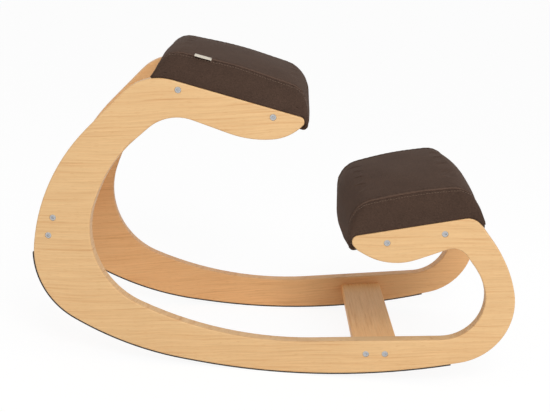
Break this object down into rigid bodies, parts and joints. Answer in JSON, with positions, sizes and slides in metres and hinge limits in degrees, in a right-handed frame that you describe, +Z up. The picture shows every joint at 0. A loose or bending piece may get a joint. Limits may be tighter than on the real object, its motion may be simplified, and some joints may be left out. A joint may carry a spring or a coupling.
{
  "type": "kneeling chair",
  "caption": "Rocking kneeling chair: looped plywood side frames on curved soles carry a sloping upholstered seat and a knee pad, joined by crossbars.",
  "frame": {"origin": "on the floor under the middle of the chair's length and width", "axes": "+X to the front, where the knees go; +Y to the sitter's left; +Z up, with the chair as it rests by itself on a level floor"},
  "size_m": [0.8129, 0.411, 0.5372],
  "materials": {
    "frame_plywood": "satin",
    "board_plywood": "matte",
    "strip_rubber": "matte",
    "bolt_steel": "satin",
    "staple_steel": "satin",
    "foam": "matte",
    "cover_fabric": "matte",
    "underside_fabric": "matte",
    "tag_fabric": "matte"
  },
  "bodies": {
    "root": {"right_side_frame": "frame_plywood", "left_side_frame": "frame_plywood", "right_rocker_strip": "strip_rubber", "left_rocker_strip": "strip_rubber", "front_crossbar": "frame_plywood", "rear_crossbar": "frame_plywood", "front_crossbar_bolts": "bolt_steel", "front_crossbar_nuts": "bolt_steel", "rear_crossbar_bolts": "bolt_steel", "rear_crossbar_nuts": "bolt_steel", "seat_bolts": "bolt_steel", "seat_nuts": "bolt_steel", "knee_bolts": "bolt_steel", "knee_nuts": "bolt_steel", "seat_board": "board_plywood", "seat_foam": "foam", "seat_cover_top": "cover_fabric", "seat_cover_right": "cover_fabric", "seat_cover_left": "cover_fabric", "seat_tag": "tag_fabric", "seat_underside_cloth": "underside_fabric", "seat_staples": "staple_steel", "knee_board": "board_plywood", "knee_foam": "foam", "knee_cover_top": "cover_fabric", "knee_cover_right": "cover_fabric", "knee_cover_left": "cover_fabric", "knee_underside_cloth": "underside_fabric", "knee_staples": "staple_steel"}
  },
  "joints": []
}
